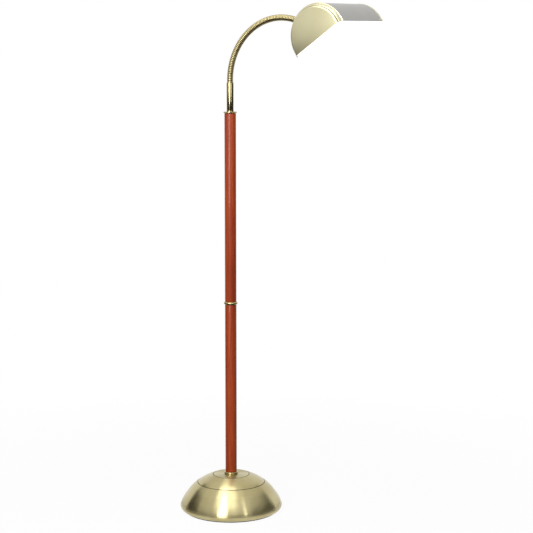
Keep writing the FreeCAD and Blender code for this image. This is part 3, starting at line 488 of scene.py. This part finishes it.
def makeHose():
    crest, valley, bore, boreSteps = hose["crest"], hose["valley"], hose["bore"], hose["boreSteps"]
    rise, pitch, groove = crest - valley, hose["pitch"], hose["groove"]
    bulge = ((pitch - groove) / 2) ** 2 / (2 * rise) + rise / 2
    for number in range(hose["stretches"]):
        start = number * stretch
        low = -hose["seat"] if number == 0 else 0
        high = stretch + (hose["seat"] if number == hose["stretches"] - 1 else 0)
        section = [(valley, 0)]
        for rib in range(hose["ribs"]):
            section.append((valley, rib * pitch + groove / 2))
            section.append((valley, (rib + 1) * pitch - groove / 2, bulge))
        section.append((valley, stretch))
        if high > stretch:
            section += [(crest, stretch), (crest, high)]
        section += [(bore, high + (low - high) * step / boreSteps) for step in range(boreSteps + 1)]
        if low < 0:
            section += [(crest, low), (crest, 0)]
        bm = bmesh.new()
        traceSection(bm, section + [(valley, 0)])
        turnSection(bm, hose["around"])
        # the valleys between the ribs take the brown-black finish: painted shade between the wires
        for face in bm.faces:
            if all(abs(vert.co.xy.length - valley) < nearly for vert in face.verts):
                face.material_index = 1
        for vert in bm.verts:
            vert.co = neckPlace(start + vert.co.z) @ Vector((vert.co.x, vert.co.y, 0))
        standsFor = [f"hose_{number:02d}"] + ([f"hose_{number + 1:02d}"] if high > stretch else [])
        piece = finishPiece(
            bm, f"hose{number + 1:02d}", "hose_brass", standsFor, materials=[woundBrass, grooveShadeAndOxide]
        )
        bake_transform(piece)


# the shade, in its own frame: X across the opening, Y along the shade, Z up through its crest
shade = dict(half=80.4, skirt=9.9, wall=0.8, length=191, seat=28.15, entry=128.65, twist=2.5, hem=3.0, hemWall=2.0)
cap = dict(
    # (out past the barrel's end, half width past the barrel's skin)
    rim=[(-2.2, 0.6), (0.25, 0.6), (0.7, -0.6), (1.0, -1.3)],
    band=[(3.3, -1.95), (5.6, -3.0), (8.0, -4.6), (10.2, -6.5)],
    line=[(10.6, -7.9), (11.4, -7.9)],
    face=[(11.8, -7.5), (13.2, -8.0), (14.2, -9.1), (14.9, -10.3), (15.3, -11.8)],
    wall=0.9,
)


def shadePlace():
    entry = math.radians(shade["entry"])
    centre = neckPlace(hose["stretches"] * stretch + shade["seat"]).translation + neckEnd * shade["half"]
    turn = Matrix.Rotation(entry - math.atan2(-neckEnd.z, -neckEnd.x), 4, "Y")
    opening = centre - turn @ Vector((0, 0, shade["skirt"]))
    twist = Matrix.Rotation(math.radians(shade["twist"]), 4, neckEnd)
    about = Matrix.Translation(centre) @ twist @ Matrix.Translation(-centre)
    return about @ Matrix.Translation(opening) @ turn


def makeBarrel():
    half, skirt, wall = shade["half"], shade["skirt"], shade["wall"]
    hem, thick = shade["hem"], shade["hemWall"]
    inside, fold = half - wall, half - thick
    bm = bmesh.new()
    traceSection(
        bm,
        [
            (half, thick / 2), (half, skirt), (0, skirt + half, half), (-half, skirt, half), (-half, thick / 2),
            (-fold, thick / 2, thick / 2), (-fold, hem), (-inside, hem), (-inside, skirt),
            (0, skirt + inside, -inside), (inside, skirt, -inside), (inside, hem), (fold, hem),
            (fold, thick / 2), (half, thick / 2, thick / 2),
        ],
    )
    bmesh.ops.remove_doubles(bm, verts=bm.verts, dist=weldGap)
    bmesh.ops.translate(bm, verts=bm.verts, vec=(0, -shade["length"] / 2, 0))
    wide = bmesh.ops.extrude_edge_only(bm, edges=bm.edges)["geom"]
    moved = [item for item in wide if isinstance(item, bmesh.types.BMVert)]
    bmesh.ops.translate(bm, verts=moved, vec=(0, shade["length"], 0))
    bmesh.ops.recalc_face_normals(bm, faces=bm.faces)
    finishPiece(bm, "shadeBarrel", "shade_nickel", ["shade_barrel"], "shade", shadePlace())


def makeCap(name, node, side):
    half, skirt = shade["half"], shade["skirt"]
    stations = cap["rim"] + cap["band"] + cap["line"] + cap["face"]
    bm = bmesh.new()
    first = half + stations[0][1]
    traceSection(bm, [(first, 0), (first, skirt), (0, skirt + first, first), (-first, skirt, first), (-first, 0)])
    bmesh.ops.translate(bm, verts=bm.verts, vec=(0, side * (shade["length"] / 2 + stations[0][0]), 0))
    loop = bm.edges[:]
    for (out, inset), (nextOut, nextInset) in zip(stations, stations[1:]):
        wide = bmesh.ops.extrude_edge_only(bm, edges=loop)["geom"]
        # the faces of the pressed line take the brown-black finish: painted shade in the step
        for face in wide:
            if isinstance(face, bmesh.types.BMFace):
                face.material_index = int((nextOut, nextInset) in cap["line"])
        loop = [item for item in wide if isinstance(item, bmesh.types.BMEdge) and len(item.link_faces) == 1]
        moved = [item for item in wide if isinstance(item, bmesh.types.BMVert)]
        size = (half + nextInset) / (half + inset)
        for vert in moved:
            vert.co.x *= size
            vert.co.y += side * (nextOut - out)
            if vert.co.z > skirt:
                vert.co.z = skirt + (vert.co.z - skirt) * size
    ends = sorted({vert for edge in loop for vert in edge.verts}, key=lambda vert: vert.co.z)[:2]
    loop.append(bm.edges.new(ends))
    for face in bmesh.ops.contextual_create(bm, geom=loop)["faces"]:
        face.material_index = 0
    bmesh.ops.recalc_face_normals(bm, faces=bm.faces)
    bmesh.ops.solidify(bm, geom=bm.faces, thickness=cap["wall"])
    finishPiece(bm, name, "cap_brass", [node], "shade", shadePlace(), [pressedBrass, grooveShadeAndOxide])


makeCover()
makePole()
print("base and pole: cover, collar, two lengths of wood, ring, flange and sleeve")
makeHose()
print(f"neck: {hose['stretches']} stretches of {hose['ribs']} ribs")
makeBarrel()
makeCap("nearCap", "end_cap_near", -1)
makeCap("farCap", "end_cap_far", 1)
print("shade: barrel and two caps")


# floor, world, soft boxes and dark cards; bearings are in degrees from the camera, to its left
stageSizes = dict(floor=60, shadowShare=0.06, shadowReach=(0.5, 1.6), glow=1.0, ambient=0.22)
# (name, bearing, distance, height of its middle, width, height, watts)
softBoxes = [
    ("keyBox", 20, 2.2, 1.45, 0.7, 1.6, 40),
    ("stripBox", -36, 2.2, 1.4, 0.1, 1.5, 3),
    ("topBox", 20, 0.9, 3.0, 2.2, 2.2, 34),
]
# (name, from bearing, to bearing, distance, lowest, highest)
darkCards = [
    ("lowCard", -118, 120, 2.4, 0.01, 1.0),
    ("leftCard", 88, 130, 2.4, 1.0, 1.7),
    ("rightCard", -118, -52, 2.4, 1.0, 1.7),
]
floorCard = dict(partOf="lowCard", near=0.19, height=0.012)
cardSteps = 24


def bearingPlace(bearing, distance, height):
    turn = math.radians(view["turn"] - bearing)
    return Vector((math.sin(turn) * distance, -math.cos(turn) * distance, height))


def shownRays(tree):
    # 1 for what the camera sees, straight or in metal or through glass
    rays = addNode(tree, "ShaderNodeLightPath")
    both = addNode(
        tree, "ShaderNodeMath", links={0: rays.outputs["Is Camera Ray"], 1: rays.outputs["Is Glossy Ray"]},
        operation="ADD",
    )
    return addNode(
        tree, "ShaderNodeMath", links={0: both.outputs[0], 1: rays.outputs["Is Transmission Ray"]},
        operation="ADD", use_clamp=True,
    ).outputs[0]


def stageObject(bm, name, material):
    mesh = bpy.data.meshes.new(name)
    bm.to_mesh(mesh)
    bm.free()
    mesh.materials.append(material)
    piece = bpy.data.objects.new(name, mesh)
    scene.collection.objects.link(piece)
    return piece


def makeFloor():
    material = bpy.data.materials.new("studio floor, matt white")
    material.use_nodes = True
    tree = material.node_tree
    tree.nodes.clear()
    matt = addNode(tree, "ShaderNodeBsdfDiffuse", values={"Color": linear("#f4f4f4")})
    glow = addNode(tree, "ShaderNodeEmission", values={"Color": (1, 1, 1, 1), "Strength": stageSizes["glow"]})
    place = addNode(tree, "ShaderNodeTexCoord").outputs["Object"]
    reach = addNode(tree, "ShaderNodeVectorMath", links={0: place}, operation="LENGTH")
    near, far = stageSizes["shadowReach"]
    fade = addNode(
        tree, "ShaderNodeMapRange", links={"Value": reach.outputs["Value"]},
        values={"From Min": near, "From Max": far, "To Min": 1 - stageSizes["shadowShare"], "To Max": 1.0},
    )
    share = addNode(
        tree, "ShaderNodeMath", links={0: shownRays(tree), 1: fade.outputs[0]}, operation="MULTIPLY"
    )
    both = addNode(
        tree, "ShaderNodeMixShader", links={0: share.outputs[0], 1: matt.outputs[0], 2: glow.outputs[0]}
    )
    addNode(tree, "ShaderNodeOutputMaterial", links={"Surface": both.outputs[0]})
    bm = bmesh.new()
    bmesh.ops.create_grid(bm, x_segments=1, y_segments=1, size=stageSizes["floor"])
    stageObject(bm, "floor", material)


def makeWorld():
    world = bpy.data.worlds.new("studio")
    scene.world = world
    world.use_nodes = True
    tree = world.node_tree
    tree.nodes.clear()
    soft = addNode(tree, "ShaderNodeBackground", values={"Color": (1, 1, 1, 1), "Strength": stageSizes["ambient"]})
    white = addNode(tree, "ShaderNodeBackground", values={"Color": (1, 1, 1, 1), "Strength": 1.0})
    both = addNode(
        tree, "ShaderNodeMixShader", links={0: shownRays(tree), 1: soft.outputs[0], 2: white.outputs[0]}
    )
    addNode(tree, "ShaderNodeOutputWorld", links={"Surface": both.outputs[0]})


def sweepStrip(bm, ends, angle):
    # the strip that the line between two places draws as it turns round Z
    corners = [bm.verts.new(place) for place in ends]
    edge = bm.edges.new(corners)
    bmesh.ops.spin(
        bm, geom=[*corners, edge], cent=(0, 0, 0), axis=(0, 0, 1), dvec=(0, 0, 0),
        angle=angle, steps=cardSteps, use_duplicate=False,
    )


def makeCards():
    # black cards that stand round the object as in a product photographer's studio: only reflections show them
    felt = plainFinish("felt, dyed black", "#0d0c0a", "#16140f", 200, 0, Roughness=0.9)
    for name, first, last, distance, low, high in darkCards:
        bm = bmesh.new()
        angle = -math.radians(last - first)
        sweepStrip(bm, [bearingPlace(first, distance, level) for level in (low, high)], angle)
        if name == floorCard["partOf"]:
            # the same card goes on over the floor, towards the object
            reaches = (floorCard["near"], distance)
            sweepStrip(bm, [bearingPlace(first, reach, floorCard["height"]) for reach in reaches], angle)
        card = stageObject(bm, name, felt)
        card.visible_camera = card.visible_diffuse = card.visible_shadow = card.visible_transmission = False


def makeSoftBoxes():
    for name, bearing, distance, height, width, tall, watts in softBoxes:
        data = bpy.data.lights.new(name, "AREA")
        data.shape = "RECTANGLE"
        data.size, data.size_y = width, tall
        data.energy = watts
        lamp = bpy.data.objects.new(name, data)
        lamp.location = bearingPlace(bearing, distance, height)
        aim = Vector((0, 0, min(height, 1.0))) - lamp.location
        lamp.rotation_euler = aim.to_track_quat("-Z", "Y").to_euler()
        scene.collection.objects.link(lamp)


makeFloor()
makeWorld()
makeCards()
makeSoftBoxes()
print(f"stage: floor, world, {len(softBoxes)} soft boxes and {len(darkCards)} cards")
